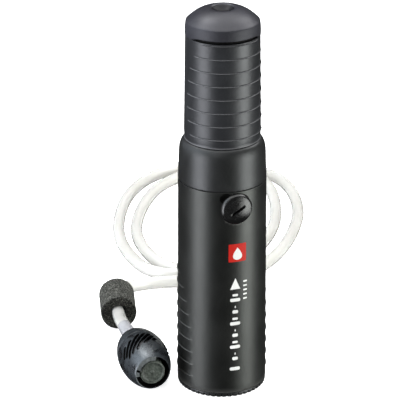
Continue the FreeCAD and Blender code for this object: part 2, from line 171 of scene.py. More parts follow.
def finish(name, shades, rough, grain=2600.0, bump=0.12, clouds=45.0, speckle=0.25,
           stretch=(1, 1, 1), cells=0.0, painted_ridge_light=None, **gloss):
    """A procedural finish: two shades in soft clouds, fine speckle, grain in roughness and bump.

    cells, where given, is the scale of a cell pattern that takes the grain's place in the speckle and bump.
    painted_ridge_light is the colour of a painted highlight along the ridge crests and the height in metres
    that it ends at. The crevices beside them then get painted shade, dark and dull. gloss sets the shader's
    other sockets, with _ for a space."""
    material = bpy.data.materials.new(name)
    material.use_nodes = True
    tree = material.node_tree
    shader = tree.nodes["Principled BSDF"]
    coordinates = tree.nodes.new("ShaderNodeTexCoord")
    mapping = shader_node(tree, "Mapping", {"Scale": stretch})
    tree.links.new(coordinates.outputs["Object"], mapping.inputs["Vector"])
    place = mapping.outputs["Vector"]
    cloud = noise(tree, place, clouds, 4.0, 0.6)
    fine = noise(tree, place, grain, 2.0)
    height = fine
    if cells:
        cell = shader_node(tree, "TexVoronoi", {"Scale": cells})
        tree.links.new(place, cell.inputs["Vector"])
        height = cell.outputs["Distance"]
    colour = mixed(tree, spread(tree, cloud, 0.35, 0.65, 0.0, 1.0), shades[0], shades[1])
    tone = spread(tree, height, 0.3, 0.7, 1.0 - speckle, 1.0 + speckle)
    grey = tree.nodes.new("ShaderNodeCombineColor")
    for channel in range(3):
        tree.links.new(tone, grey.inputs[channel])
    colour = mixed(tree, 1.0, colour, grey.outputs["Color"], "MULTIPLY")
    # Painted highlight on the ridge crests, found by pointiness below a height, and painted shade in the
    # concave crevices beside them.
    if painted_ridge_light:
        shade, top = painted_ridge_light
        pointiness = tree.nodes.new("ShaderNodeNewGeometry").outputs["Pointiness"]
        position = tree.nodes.new("ShaderNodeSeparateXYZ")
        tree.links.new(coordinates.outputs["Object"], position.inputs[0])
        below_top = spread(tree, position.outputs["Z"], top - 0.001, top, 1.0, 0.0)
        crest = shader_node(tree, "Math", operation="MULTIPLY")
        tree.links.new(spread(tree, pointiness, 0.508, 0.54, 0.0, 1.0), crest.inputs[0])
        tree.links.new(below_top, crest.inputs[1])
        colour = mixed(tree, crest.outputs[0], colour, shade)
        painted_crevice_shade = spread(tree, pointiness, 0.455, 0.49, 1.0, 0.0)
        colour = mixed(tree, painted_crevice_shade, colour, (0.001, 0.001, 0.001))
    tree.links.new(colour, shader.inputs["Base Color"])
    both = shader_node(tree, "Math", operation="ADD")
    tree.links.new(cloud, both.inputs[0])
    tree.links.new(fine, both.inputs[1])
    dull = spread(tree, both.outputs[0], 0.7, 1.3, rough[0], rough[1])
    # The crevices with painted shade are also made rougher.
    if painted_ridge_light:
        deep = shader_node(tree, "Math", operation="ADD")
        tree.links.new(dull, deep.inputs[0])
        tree.links.new(painted_crevice_shade, deep.inputs[1])
        dull = deep.outputs[0]
    tree.links.new(dull, shader.inputs["Roughness"])
    relief = shader_node(tree, "Bump", {"Strength": bump, "Distance": 0.0004})
    tree.links.new(height, relief.inputs["Height"])
    tree.links.new(relief.outputs["Normal"], shader.inputs["Normal"])
    for key, value in gloss.items():
        shader.inputs[key.replace("_", " ")].default_value = value
    return material


# The body's and the grip's ridges carry a painted highlight on their crests and painted shade in the crevices
# below.
body_plastic = finish("satin_black_body", ((0.0028, 0.0030, 0.0028), (0.0056, 0.0058, 0.0054)), (0.36, 0.46),
                      painted_ridge_light=((0.05, 0.05, 0.047), 0.140), Specular_Tint=(0.96, 0.99, 0.95, 1.0))
shoulder_plastic = finish("satin_black_shoulder", ((0.0060, 0.0063, 0.0062), (0.0100, 0.0104, 0.0102)),
                          (0.36, 0.46), Specular_Tint=(0.96, 0.98, 1.0, 1.0))
grip_plastic = finish("satin_grey_grip", ((0.012, 0.0125, 0.014), (0.018, 0.019, 0.021)), (0.36, 0.46),
                      painted_ridge_light=((0.10, 0.10, 0.105), 0.2465), Specular_Tint=(0.96, 0.97, 1.0, 1.0))
cap_plastic = finish("satin_grey_cap", ((0.012, 0.012, 0.016), (0.018, 0.018, 0.024)), (0.38, 0.48),
                     Specular_Tint=(0.95, 0.95, 1.0, 1.0))
band_plastic = finish("satin_grey_band", ((0.012, 0.012, 0.016), (0.018, 0.018, 0.024)), (0.52, 0.62),
                      Specular_Tint=(0.95, 0.95, 1.0, 1.0))
# A darker copy of the cap's plastic, with less specular, for the dimple on top: painted shade in the recess.
dish_painted_shade = finish("satin_black_dish_painted_shade", ((0.006, 0.006, 0.008), (0.009, 0.009, 0.011)), (0.40, 0.50),
                      Specular_IOR_Level=0.16)
# Black that stands in for shade: painted shade under the cap's skirt and inside the prefilter's front shell.
painted_shade_black = finish("matt_black_painted_shade", ((0.002, 0.002, 0.002), (0.004, 0.004, 0.004)), (0.6, 0.75),
                      Specular_IOR_Level=0.10)
plug_plastic = finish("gloss_black_plug", ((0.004, 0.004, 0.004), (0.008, 0.008, 0.008)), (0.14, 0.32),
                      bump=0.22, speckle=0.3, clouds=230.0)
fitting_plastic = finish("moulded_black_fitting", ((0.012, 0.012, 0.013), (0.02, 0.02, 0.021)), (0.3, 0.42))
egg_plastic = finish("gloss_charcoal_egg", ((0.003, 0.003, 0.004), (0.016, 0.019, 0.022)), (0.16, 0.52),
                     bump=0.25, grain=1500.0, speckle=0.4, clouds=170.0,
                     Specular_IOR_Level=1.0, Specular_Tint=(0.86, 0.94, 1.0, 1.0))
# The lug in the prefilter's mouth gets a paler grey than the shell.
lug_plastic = finish("pale_grey_lug", ((0.050, 0.056, 0.056), (0.110, 0.120, 0.120)), (0.35, 0.5),
                     clouds=260.0, speckle=0.4)
disc_plastic = finish("grey_green_disc", ((0.030, 0.037, 0.030), (0.070, 0.082, 0.068)), (0.4, 0.6),
                      bump=0.25, grain=900.0, speckle=0.55, clouds=260.0)
foam = finish("grey_closed_cell_foam", ((0.026, 0.026, 0.023), (0.072, 0.073, 0.065)), (0.75, 0.95),
              bump=0.8, grain=1100.0, cells=1000.0, speckle=0.75, clouds=420.0, Specular_IOR_Level=0.15)
# The float's end faces get a darker foam colour than its side.
end_face_foam = finish("darker_foam_end_face", ((0.006, 0.006, 0.005), (0.032, 0.032, 0.027)), (0.8, 0.95),
                  bump=0.9, grain=1100.0, cells=900.0, speckle=0.85, clouds=500.0, Specular_IOR_Level=0.15)
rubber = finish("matt_black_rubber", ((0.010, 0.010, 0.010), (0.018, 0.018, 0.018)), (0.6, 0.75))
steel = finish("ground_steel", ((0.55, 0.55, 0.56), (0.66, 0.66, 0.67)), (0.22, 0.30),
               bump=0.03, grain=900.0, speckle=0.04, stretch=(1, 1, 4), Metallic=1.0)
mesh_steel = finish("woven_steel_screen", ((0.10, 0.10, 0.105), (0.17, 0.17, 0.175)), (0.4, 0.55),
                    bump=0.6, cells=1400.0, speckle=0.4, Metallic=1.0)
ceramic = finish("cream_ceramic", ((0.72, 0.67, 0.56), (0.82, 0.78, 0.68)), (0.75, 0.9),
                 bump=0.25, grain=1800.0, speckle=0.08)
carbon = finish("carbon_granules", ((0.010, 0.010, 0.011), (0.03, 0.03, 0.032)), (0.55, 0.8),
                bump=0.9, cells=700.0, speckle=0.5)
ball_plastic = finish("white_valve_ball", ((0.70, 0.69, 0.65), (0.78, 0.77, 0.73)), (0.25, 0.35),
                      bump=0.03, speckle=0.05)
badge_red = finish("printed_red", ((0.44, 0.010, 0.006), (0.56, 0.018, 0.010)), (0.5, 0.6),
                   speckle=0.10, Specular_IOR_Level=0.2)
print_white = finish("printed_white", ((0.74, 0.74, 0.72), (0.84, 0.84, 0.82)), (0.45, 0.6), speckle=0.06)

slot_materials = {
    "housing_plastic": body_plastic, "handle_plastic": grip_plastic, "plug_gloss": plug_plastic,
    "fitting_plastic": fitting_plastic, "seal_rubber": rubber, "rod_steel": steel, "screen_steel": mesh_steel,
    "candle_ceramic": ceramic, "carbon": carbon, "valve_ball": ball_plastic, "float_foam": foam,
    "prefilter_plastic": egg_plastic, "prefilter_cap_plastic": disc_plastic}


# ---- mesh helpers ---------------------------------------------------------------------------------
SHARP_ANGLE = 38.0


def rounded(outline, radius, count=3):
    """The closed outline with each real corner away from the axis replaced by a small arc."""
    result = []
    for k in range(len(outline)):
        before, corner, after = [np.array(outline[i % len(outline)], float) for i in (k - 1, k, k + 1)]
        a = before - corner
        b = after - corner
        length_a, length_b = np.linalg.norm(a), np.linalg.norm(b)
        if corner[0] < 1e-6 or a @ b < -0.95 * length_a * length_b:
            result.append(tuple(corner))
            continue
        cut = min(radius, 0.45 * length_a, 0.45 * length_b)
        start = corner + a / length_a * cut
        end = corner + b / length_b * cut
        for t in np.linspace(0.0, 1.0, count + 1):
            result.append(tuple((1 - t) ** 2 * start + 2 * t * (1 - t) * corner + t * t * end))
    return result


def piece(name, points, faces, material, body, replaces=(), matrix=None, sharp=SHARP_ANGLE):
    """A closed mesh from points in millimetres, cleaned and smooth shaded up to edges of sharp degrees.

    It is attached to the named body, and the CAD parts in replaces are hidden, unless body is None, as it is
    for a cutter."""
    mesh = bpy.data.meshes.new(name)
    mesh.from_pydata([tuple(p) for p in np.asarray(points, float) * MM], [], faces)
    form = bmesh.new()
    form.from_mesh(mesh)
    bmesh.ops.remove_doubles(form, verts=form.verts, dist=1e-7)
    bmesh.ops.dissolve_degenerate(form, edges=form.edges, dist=1e-8)
    bmesh.ops.recalc_face_normals(form, faces=form.faces)
    form.to_mesh(mesh)
    form.free()
    if matrix is not None:
        mesh.transform(matrix)
    made = bpy.data.objects.new(name, mesh)
    bpy.context.scene.collection.objects.link(made)
    mesh.materials.append(material)
    mesh.polygons.foreach_set("use_smooth", [True] * len(mesh.polygons))
    mesh.set_sharp_from_angle(angle=math.radians(sharp))
    if body:
        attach(made, body)
        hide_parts(*replaces)
    return made


def lathe_grid(outline, steps, relief=None):
    """Points and faces of a closed outline of (radius, z) turned about z.

    relief(azimuth, r, z), where given, returns the new r and z."""
    outline = np.array(outline, float)
    rows = len(outline)
    azimuth = np.arange(steps) * 360.0 / steps - 180.0
    azimuth = np.repeat(azimuth[:, None], rows, 1)
    r = np.repeat(outline[None, :, 0], steps, 0)
    z = np.repeat(outline[None, :, 1], steps, 0)
    if relief:
        r, z = relief(azimuth, r, z)
    angle = np.radians(azimuth)
    points = np.stack([r * np.sin(angle), -r * np.cos(angle), z], -1).reshape(-1, 3)
    faces = []
    for i in range(steps):
        for j in range(rows):
            a, b = i * rows, (i + 1) % steps * rows
            k = (j + 1) % rows
            faces.append((a + j, b + j, b + k, a + k))
    return points, faces


def lathe(name, outline, material, body, replaces=(), steps=180, relief=None, matrix=None):
    points, faces = lathe_grid(outline, steps, relief)
    return piece(name, points, faces, material, body, replaces, matrix)


def cut_away(target, cutter):
    """Cuts the cutter's volume out of the target's mesh and deletes the cutter."""
    modifier = target.modifiers.new("cut", "BOOLEAN")
    modifier.operation = "DIFFERENCE"
    modifier.solver = "EXACT"
    modifier.object = cutter
    bpy.context.view_layer.objects.active = target
    bpy.ops.object.modifier_apply(modifier=modifier.name)
    bpy.data.objects.remove(cutter)
    target.data.polygons.foreach_set("use_smooth", [True] * len(target.data.polygons))
    target.data.set_sharp_from_angle(angle=math.radians(SHARP_ANGLE))


def smoothstep(x):
    x = np.clip(x, 0.0, 1.0)
    return x * x * (3.0 - 2.0 * x)


def fine_rows(radius_at, centres, offsets, low, high):
    """Outline points from low to high that lie close together around each centre."""
    rows = {low, high}
    for centre in centres:
        rows.update(centre + offset for offset in offsets)
    rows = sorted(z for z in rows if low <= z <= high)
    return [(radius_at(z), z) for z in rows]


# Turns a piece drawn about z so that its axis points to the pump's front, or to its rear.
TO_FRONT = Matrix.Rotation(math.radians(90.0), 4, "X")
TO_REAR = Matrix.Rotation(math.radians(-90.0), 4, "X")


def raised_to(z, turn):
    return Matrix.Translation((0.0, 0.0, z * MM)) @ turn


# ---- handle ---------------------------------------------------------------------------------------
HANDLE_RIDGES = [183.2 + 9.06 * k for k in range(8)]
HANDLE_RIDGE_HEIGHT = 0.52
HANDLE_RIDGE_ABOVE = 0.6
HANDLE_RIDGE_BELOW = 0.22
SLEEVE_BOTTOM = 178.0
SLEEVE_HEIGHT = 71.8


def ridge_shape(offset, above, below):
    """A ridge's height, 0 to 1: a slow rise from above and a steep fall below its crest."""
    rise = np.where(offset > 0, offset / above, -offset / below)
    return 0.5 + 0.5 * np.cos(math.pi * np.clip(rise, 0.0, 1.0))


def sleeve_radius(z):
    """A draft of 1 mm over the height, and a round lead-in over the lowest 4 mm."""
    lead_in = 0.5 * max(0.0, (SLEEVE_BOTTOM + 4.0 - z) / 4.0) ** 1.5
    return 25.2 - (z - SLEEVE_BOTTOM) / SLEEVE_HEIGHT - lead_in


def sleeve_relief(azimuth, r, z):
    """Ridges over the front, whose ends fade out along an oval that is widest at the sleeve's middle."""
    outer = (r > 24.0) & (z < 247.5)
    for centre in HANDLE_RIDGES:
        half = 87.0 * math.sqrt(1.0 - abs((centre - 207.0) / 48.0) ** 2.3)
        end = smoothstep((half - np.abs(azimuth)) / 7.0)
        ridge = ridge_shape(z - centre, HANDLE_RIDGE_ABOVE, HANDLE_RIDGE_BELOW)
        r = r + outer * HANDLE_RIDGE_HEIGHT * end * ridge
    return r, z


def make_sleeve():
    offsets = (-4.2, -3.4, -2.5, -1.6, -0.7, -0.4, -0.24, -0.16, -0.08, 0.0,
               0.12, 0.25, 0.4, 0.57, 0.75, 1.6, 4.0)
    outer = fine_rows(sleeve_radius, HANDLE_RIDGES, offsets, 178.2, 247.45)
    outline = [(23.4, 177.4), (23.8, 177.0), (24.7, 177.0), (25.1, 177.3)] + outer
    outline += [(24.15, 247.75), (24.05, 247.8), (23.1, 247.8), (22.9, 247.6), (22.9, 245.0),
                (23.3, 200.0)]
    lathe("grip_sleeve", outline, grip_plastic, "handle", ["handle_sleeve"], 288,
          sleeve_relief)


SKIRT_TOP = 251.2
SKIRT_DROP = 2.1
BAND_TOP = 256.7
NECK_TOP = 250.0
NECK_RADIUS = 23.6


def cap_relief(azimuth, r, z):
    """The skirt comes down to the sleeve at the back and stands off it in front, as a finger edge."""
    away = smoothstep((np.abs(azimuth + 10.0) - 46.0) / 24.0)
    skirt = (r > 23.0) & (z < SKIRT_TOP)
    z = z - skirt * away * SKIRT_DROP * np.clip((SKIRT_TOP - z) / 1.1, 0.0, 1.0)
    return r, z


def make_cap():
    outline = [(8.0, 240.3), (8.0, 250.5), (21.0, 250.5), (21.0, 242.2), (21.2, 242.0), (22.5, 242.0),
               (22.7, 242.2), (22.75, 246.0), (22.75, 249.9), (23.4, 249.8), (24.3, 249.8), (24.4, 249.95),
               (24.43, 250.4), (24.44, 251.4), (24.38, 252.9), (24.24, 254.2), (24.08, 255.4), (23.97, 256.2),
               (23.86, 256.6), (23.6, 256.9), (22.6, 257.75), (21.4, 258.85), (20.0, 260.05), (18.2, 261.4),
               (16.0, 262.7), (13.5, 263.8), (11.0, 264.6), (9.6, 264.95), (8.6, 264.98), (8.0, 264.8),
               (7.55, 264.45), (7.35, 264.2), (7.35, 263.0), (5.8, 263.0), (5.8, 251.0), (3.1, 251.0),
               (3.1, 240.3)]
    cap = lathe("dome_cap", outline, cap_plastic, "handle", ["handle_cap"], 240, cap_relief)
    cap.data.materials.append(band_plastic)
    cap.data.materials.append(painted_shade_black)
    # The neck under the skirt's finger edge gets painted shade (black); the rest of the skirt band below
    # BAND_TOP gets the rougher band plastic.
    for polygon in cap.data.polygons:
        if polygon.center.xy.length < NECK_RADIUS * MM and polygon.center.z < NECK_TOP * MM:
            polygon.material_index = 2
        elif polygon.center.z < BAND_TOP * MM:
            polygon.material_index = 1
    plug = [(0.0, 261.3), (1.5, 261.4), (3.0, 261.75), (4.4, 262.35), (5.4, 263.05), (6.4, 263.75),
            (7.0, 264.1), (7.3, 264.2), (7.34, 263.9), (7.34, 263.2), (7.1, 263.02), (5.7, 263.02),
            (4.4, 262.0), (3.0, 261.3), (0.0, 260.8)]
    # The plug in the dimple takes the darker dish plastic, as painted shade.
    lathe("dome_plug", plug, dish_painted_shade, "handle", ["handle_plug"], 120)


# ---- housing --------------------------------------------------------------------------------------
GRIP_RIDGES = [12.1 + 8.9 * k for k in range(9)]
GRIP_RIDGE_HEIGHT = 0.36
GRIP_RIDGE_ABOVE = 0.55
GRIP_RIDGE_BELOW = 0.25
GRIP_SWELL_HEIGHT = 0.16
GRIP_SWELL_REACH = 4.2
PLUG_Z = 137.0


def housing_radius(z):
    return 29.9 - 0.8 * (z - 3.2) / 145.4


def housing_relief(azimuth, r, z):
    """Ridges on both sides, each on a soft swell, whose ends fade out along an oval."""
    outer = (r > 28.5) & (z > 4.0)
    for centre in GRIP_RIDGES:
        half = 58.0 * math.sqrt(1.0 - ((centre - 20.0) / 75.0) ** 2)
        end = smoothstep((half - np.abs(np.abs(azimuth) - 115.0)) / 6.0)
        ridge = ridge_shape(z - centre, GRIP_RIDGE_ABOVE, GRIP_RIDGE_BELOW)
        swell = ridge_shape(z - centre, GRIP_SWELL_REACH, GRIP_SWELL_REACH)
        r = r + outer * GRIP_RIDGE_HEIGHT * end * ridge
        r = r + outer * GRIP_SWELL_HEIGHT * end * swell
    return r, z


def make_housing():
    offsets = (-4.2, -3.0, -2.0, -1.0, -0.4, -0.26, -0.17, -0.08, 0.0,
               0.12, 0.27, 0.45, 0.62, 0.8, 1.4, 2.4, 3.6)
    outer = fine_rows(housing_radius, GRIP_RIDGES, offsets, 4.4, 90.0)
    plain_rows = (98.0, 106.0, 114.0, 120.0, 123.0, *np.arange(124.5, 148.0, 1.0), 148.3)
    outer += [(housing_radius(z), z) for z in plain_rows]
    outline = [(27.5, 3.25), (29.4, 3.25), (29.75, 3.5)] + outer
    outline += [(29.08, 148.52), (28.98, 148.6), (25.3, 148.6), (25.0, 148.3), (25.0, 126.4), (27.4, 124.0)]
    shell = lathe("filter_shell", outline, body_plastic, "root", ["filter_housing"], 288,
                  housing_relief)
    holes = (("well", 10.9, 0.0, PLUG_Z, 27.8), ("well_corner", 3.8, -7.0, 144.4, 25.8))
    outside = 36.0
    for name, radius, x, z, deep in holes:
        hole = rounded([(0.0, deep), (radius, deep), (radius, outside), (0.0, outside)], 0.3)
        place = Matrix.Translation((x * MM, 0.0, z * MM)) @ TO_FRONT
        cut_away(shell, lathe(name, hole, body_plastic, None, steps=120, matrix=place))


def make_upper_housing():
    outer = [(28.4, 148.65), (28.6, 148.75), (28.9, 149.0), (29.08, 149.25), (29.12, 149.6), (29.1, 150.8),
             (28.9, 155.0), (28.7, 160.0), (28.55, 165.0), (28.4, 168.5), (28.1, 171.0), (27.6, 172.9),
             (26.9, 174.5), (26.1, 175.7), (25.3, 176.5), (24.6, 176.75)]
    inner = [(21.2, 176.8), (20.6, 177.2), (20.5, 178.0), (20.5, 188.9), (20.2, 189.6), (19.6, 189.8),
             (18.7, 189.8), (18.5, 189.5), (18.5, 176.4), (18.1, 176.0), (12.3, 176.0), (12.1, 175.8),
             (12.1, 168.0), (9.05, 168.0), (9.05, 165.6), (14.5, 165.6), (14.5, 173.0), (25.4, 173.0),
             (26.4, 169.0), (26.6, 160.0), (26.8, 148.65)]
    lathe("shoulder_shell", outer + inner, shoulder_plastic, "root", ["upper_housing"],
          240)


FOOT_NOTCHES = 48
FOOT_NOTCH_DEPTH = 0.75


def foot_relief(azimuth, r, z):
    """Shallow notches round the rim."""
    across = np.abs((azimuth * FOOT_NOTCHES / 360.0) % 1.0 - 0.5)
    notch = smoothstep((0.2 - across) / 0.06)
    rim = np.clip(r - 28.0, 0.0, 1.0) * (z < 2.4)
    return r - rim * notch * FOOT_NOTCH_DEPTH, z


def make_foot():
    outline = [(0.0, 0.5), (9.0, 0.5), (9.4, 0.1), (26.0, 0.0), (28.6, 0.0), (29.2, 0.15), (29.6, 0.55),
               (29.7, 1.0), (29.7, 2.2), (29.7, 2.5), (29.65, 2.95), (29.3, 3.2), (27.3, 3.2), (27.25, 7.0),
               (25.55, 7.0), (25.55, 9.2), (27.25, 9.2), (27.25, 13.6), (26.9, 14.0), (24.1, 14.0),
               (23.85, 13.7), (23.85, 3.4), (0.0, 3.4)]
    lathe("foot_ring", outline, shoulder_plastic, "root", ["foot_cap"],
          12 * FOOT_NOTCHES, foot_relief)


# ---- access plug ----------------------------------------------------------------------------------
COIN_SLOT_SECTIONS = 21


def coin_slot():
    """A cutter for the coin slot: straight sides, and a bottom that a coin's round edge would leave."""
    half, width = 6.4, 1.0
    outside = 35.0
    turn = math.radians(31.0)
    points = []
    for x in np.linspace(-half, half, COIN_SLOT_SECTIONS):
        bottom = 30.6 + 2.5 * (x / half) ** 2
        for y, depth in ((-width, bottom), (width, bottom), (width, outside), (-width, outside)):
            points.append((x * math.cos(turn) - y * math.sin(turn), -depth,
                           PLUG_Z + x * math.sin(turn) + y * math.cos(turn)))
    last = 4 * (COIN_SLOT_SECTIONS - 1)
    faces = [(3, 2, 1, 0), (last, last + 1, last + 2, last + 3)]
    for k in range(COIN_SLOT_SECTIONS - 1):
        for j in range(4):
            a, b = 4 * k + j, 4 * k + (j + 1) % 4
            faces.append((a, b, b + 4, a + 4))
    return piece("slot_cutter", points, faces, plug_plastic, None)


def make_access_plug():
    dome_radii = (9.3, 9.1, 8.7, 8.0, 7.0, 5.6, 4.2, 2.8, 1.4)
    dome = [(r, 31.25 + 2.05 * (1.0 - (r / 9.4) ** 2)) for r in dome_radii]
    outline = [(0.0, 20.0), (4.8, 20.0), (5.0, 20.3), (5.0, 22.0), (3.8, 22.0), (3.8, 23.8), (5.0, 23.8),
               (5.0, 28.1), (10.3, 28.1), (10.6, 28.5), (10.6, 29.3), (10.5, 29.7), (9.75, 30.95),
               (9.5, 31.15)] + dome + [(0.0, 33.3)]
    disc = lathe("coin_plug", outline, plug_plastic, "access_plug", ["access_plug"], 160,
                 matrix=raised_to(PLUG_Z, TO_FRONT))
    cut_away(disc, coin_slot())


# ---- rear nipples ---------------------------------------------------------------------------------
INLET_Z = 137.0
OUTLET_Z = 116.0


def make_nipples():
    inlet = [(1.5, 25.05), (3.98, 25.05), (3.98, 29.25), (6.0, 29.25), (6.4, 29.6), (6.4, 31.5),
             (6.0, 32.0), (2.45, 32.0), (2.45, 35.0), (2.3, 35.2), (2.45, 38.0), (2.3, 38.2),
             (2.45, 41.6), (1.9, 42.5), (1.5, 42.5)]
    lathe("hose_nipple", rounded(inlet, 0.12, 2), fitting_plastic, "root",
          ["inlet_nipple"], 96, matrix=raised_to(INLET_Z, TO_REAR))
    outlet = [(1.6, 26.5), (3.98, 26.5), (3.98, 29.4), (6.0, 29.4), (6.4, 29.8), (6.4, 31.6),
              (6.0, 32.0), (2.7, 32.0), (3.2, 34.6), (2.7, 34.9), (3.2, 38.2), (2.7, 38.5),
              (3.2, 40.6), (2.4, 42.0), (1.6, 42.0)]
    lathe("spout_nipple", rounded(outlet, 0.15, 2), fitting_plastic, "root",
          ["outlet_nipple"], 96, matrix=raised_to(OUTLET_Z, TO_REAR))


# ---- hose -----------------------------------------------------------------------------------------
hose_route = [
    (0, 32, 137), (0, 52.5, 137), (5, 71, 129), (17, 84, 108), (31, 94, 84), (43, 103, 60), (49.5, 117, 39),
    (47.5, 136, 25), (35, 149.5, 12), (16, 154.5, 4.6), (-1, 169, 4.6), (-6, 199, 4.6), (-4, 235, 4.6),
    (9, 276, 4.6), (29, 315, 4.6), (55, 341.7, 4.6), (85, 352, 4.6), (110, 346, 17), (127, 326, 17),
    (141, 294, 4.6), (133, 256, 4.6), (119, 219, 4.6), (95, 184, 4.6), (68, 161, 4.6), (40, 152.5, 4.6),
    (15.5, 167, 4.6), (7.5, 197.5, 4.6), (10, 238, 4.6), (28, 281, 4.6), (53, 318.5, 4.6), (81, 335.5, 4.6),
    (112.5, 338, 4.6), (142, 327.5, 4.6), (157, 297.5, 4.6), (149, 245, 4.6), (130, 205, 4.6),
    (102, 165, 4.6), (70, 140, 4.6), (39, 137.5, 4.6), (13, 145.5, 4.6), (-4, 148, 4.6), (-19, 145.5, 5.6),
    (-31.5, 137, 9), (-38.5, 124, 12.4), (-47.5, 86, 12.8), (-50.3, 62.2, 17), (-50.7, 45.3, 17)]
HOSE_RADIUS = 4.5
HOSE_WALL = 2.0
HOSE_END = Vector(hose_route[-1])
HOSE_END_WAY = (HOSE_END - Vector(hose_route[-2])).normalized()


def make_silicone(name, low, high):
    """Milky silicone: part clear and part white, with a faint haze in it and a smooth surface."""
    return finish(name, (low, high), (0.12, 0.20), bump=0.0, speckle=0.01, clouds=28.0, grain=300.0,
                  IOR=1.41, Transmission_Weight=0.62)


silicone = make_silicone("milky_silicone", (0.79, 0.785, 0.755), (0.84, 0.835, 0.81))
cuff_silicone = make_silicone("bluish_silicone", (0.56, 0.565, 0.605), (0.72, 0.725, 0.76))
slot_materials["hose_silicone"] = silicone


def make_hose():
    curve = bpy.data.curves.new("hose", "CURVE")
    curve.dimensions = "3D"
    curve.resolution_u = 12
    curve.bevel_depth = HOSE_RADIUS * MM
    curve.bevel_resolution = 7
    spline = curve.splines.new("NURBS")
    spline.points.add(len(hose_route) - 1)
    for point, place in zip(spline.points, hose_route):
        point.co = (*[c * MM for c in place], 1.0)
    spline.order_u = 3
    spline.use_endpoint_u = True
    hose = bpy.data.objects.new("hose_tube", curve)
    bpy.context.scene.collection.objects.link(hose)
    wall = hose.modifiers.new("wall", "SOLIDIFY")
    wall.thickness = HOSE_WALL * MM
    wall.offset = -1.0
    curve.materials.append(silicone)
    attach(hose, "root")
    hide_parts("hose")
    return hose


def make_cuff():
    """The hose's end, stretched over the prefilter's stem."""
    outline = [(4.52, -17.0), (4.62, -16.7), (4.7, -13.0), (4.9, -9.0), (5.2, -4.0), (5.4, -0.8),
               (5.4, 0.2), (5.15, 0.6), (3.3, 0.6), (3.1, 0.2), (2.8, -6.0), (2.7, -16.6), (3.6, -17.0)]
    way = HOSE_END_WAY.to_track_quat("Z", "Y").to_matrix().to_4x4()
    return lathe("hose_cuff", outline, cuff_silicone, "root", (), 64,
                 matrix=Matrix.Translation(HOSE_END * MM) @ way)


# ---- float ----------------------------------------------------------------------------------------
def make_float():
    """A cylinder with soft edges, dished cut faces, a slightly uneven side and crumbs on its surface.

    It lies level along the hose's straight run to the prefilter."""
    centre = Vector((-42.1, 106.6, 12.8))
    way = Vector(hose_route[-3]) - Vector(hose_route[-4])
    way.z = 0.0
    way.normalize()
    half = 16.2
    radius = 12.6
    soft = 1.4
    rows = list(np.linspace(-half + soft, half - soft, 26))
    edge = [(radius - soft + soft * math.sin(a), half - soft + soft * math.cos(a))
            for a in np.radians([90, 66, 44, 24, 8])]
    edge += [(radius - 2.6, half)]
    face = [(r, half - 0.1 - 0.25 * ((9.0 - r) / 3.0)) for r in (9.2, 8.0, 6.6)]
    bore = [(5.7, half - 0.8), (5.4, half - 2.2)]
    upper = edge + face + bore
    lower = [(r, -z) for r, z in reversed(upper)]
    outline = lower + [(radius, z) for z in rows[1:-1]] + upper
    points, faces = lathe_grid(outline, 120)
    wobble = np.array([math.sin(p[0] * 0.31 + 1.3) * math.sin(p[1] * 0.37) * math.sin(p[2] * 0.21 + 0.5)
                       for p in points])
    crumbs = rng.normal(0.0, 0.05, len(points))
    out = points.copy()
    out[:, 2] = 0.0
    radial = out / np.linalg.norm(out, axis=1)[:, None]
    sides = np.linalg.norm(out, axis=1) > 6.0
    points = points + radial * (sides * (0.18 * wobble + crumbs))[:, None]
    turn = way.to_track_quat("Z", "Y").to_matrix().to_4x4()
    made = piece("foam_float", points, faces, foam, "float", ["float"],
                 Matrix.Translation(centre * MM) @ turn, 60.0)
    made.data.materials.append(end_face_foam)
    # Faces that look along the float's axis take the darker end-face foam.
    for polygon in made.data.polygons:
        if abs(polygon.normal.dot(way)) > 0.70:
            polygon.material_index = 1
    return made


# ---- prefilter ------------------------------------------------------------------------------------
EGG_PLACE = (Matrix.Translation((-0.0515, 0.0119, 0.017)) @ Matrix.Rotation(math.radians(-1.4), 4, "Z")
             @ Matrix.Rotation(math.radians(90.0), 4, "X"))
EGG_RADIUS = 16.8
EGG_HALF = 32.0
EGG_WALL = 1.6
EGG_SEAM = -8.5
MOUTH_Z = 21.9
# The recess in the mouth, and the lug in it in degrees clockwise from the top, seen from the nose.
RECESS_RADIUS = 11.7
RECESS_FLOOR = 15.4
RECESS_RIM = 22.2
LUG_TOP = 23.3
LUG_START = -98.0
LUG_END = 12.0
LUG_GAP = -76.0
LUG_GAP_HALF = 4.0
# The intake slots. Their middle and lengths are parts of EGG_HALF, and their turns are in degrees.
SLOT_MIDDLE = 0.14
SLOT_LENGTHS = (0.12, 0.31, 0.51, 0.54, 0.55, 0.36, 0.235)
SLOT_PATCHES = (20.0, 140.0, 260.0)
SLOT_STEP = 14.0
SLOT_SWEEP = 97.0
SLOT_HALF_WIDTH = 1.32
SLOT_SECTIONS = 15


def egg_at(z, inset=0.0):
    half = EGG_HALF - inset
    return (EGG_RADIUS - inset) * math.sqrt(max(0.0, 1.0 - (z / half) ** 2))


def front_relief(azimuth, r, z):
    """The mouth's recess is filled by a lug over the upper left, with one narrow gap in it."""
    clock = (180.0 - azimuth) % 360.0
    from_top = (clock + 180.0) % 360.0 - 180.0
    gap = np.abs(from_top - LUG_GAP) <= LUG_GAP_HALF
    lug = (from_top > LUG_START) & (from_top < LUG_END) & ~gap
    wall = (z > RECESS_FLOOR) & (z < RECESS_RIM) & (r > 9.2) & (r < RECESS_RADIUS)
    lip = (z > RECESS_RIM) & (z < 22.45) & (r < RECESS_RADIUS)
    r = np.where(lug & wall, 9.25, np.where(lug & lip, 9.4, r))
    return r, np.where(lug & lip, LUG_TOP, z)


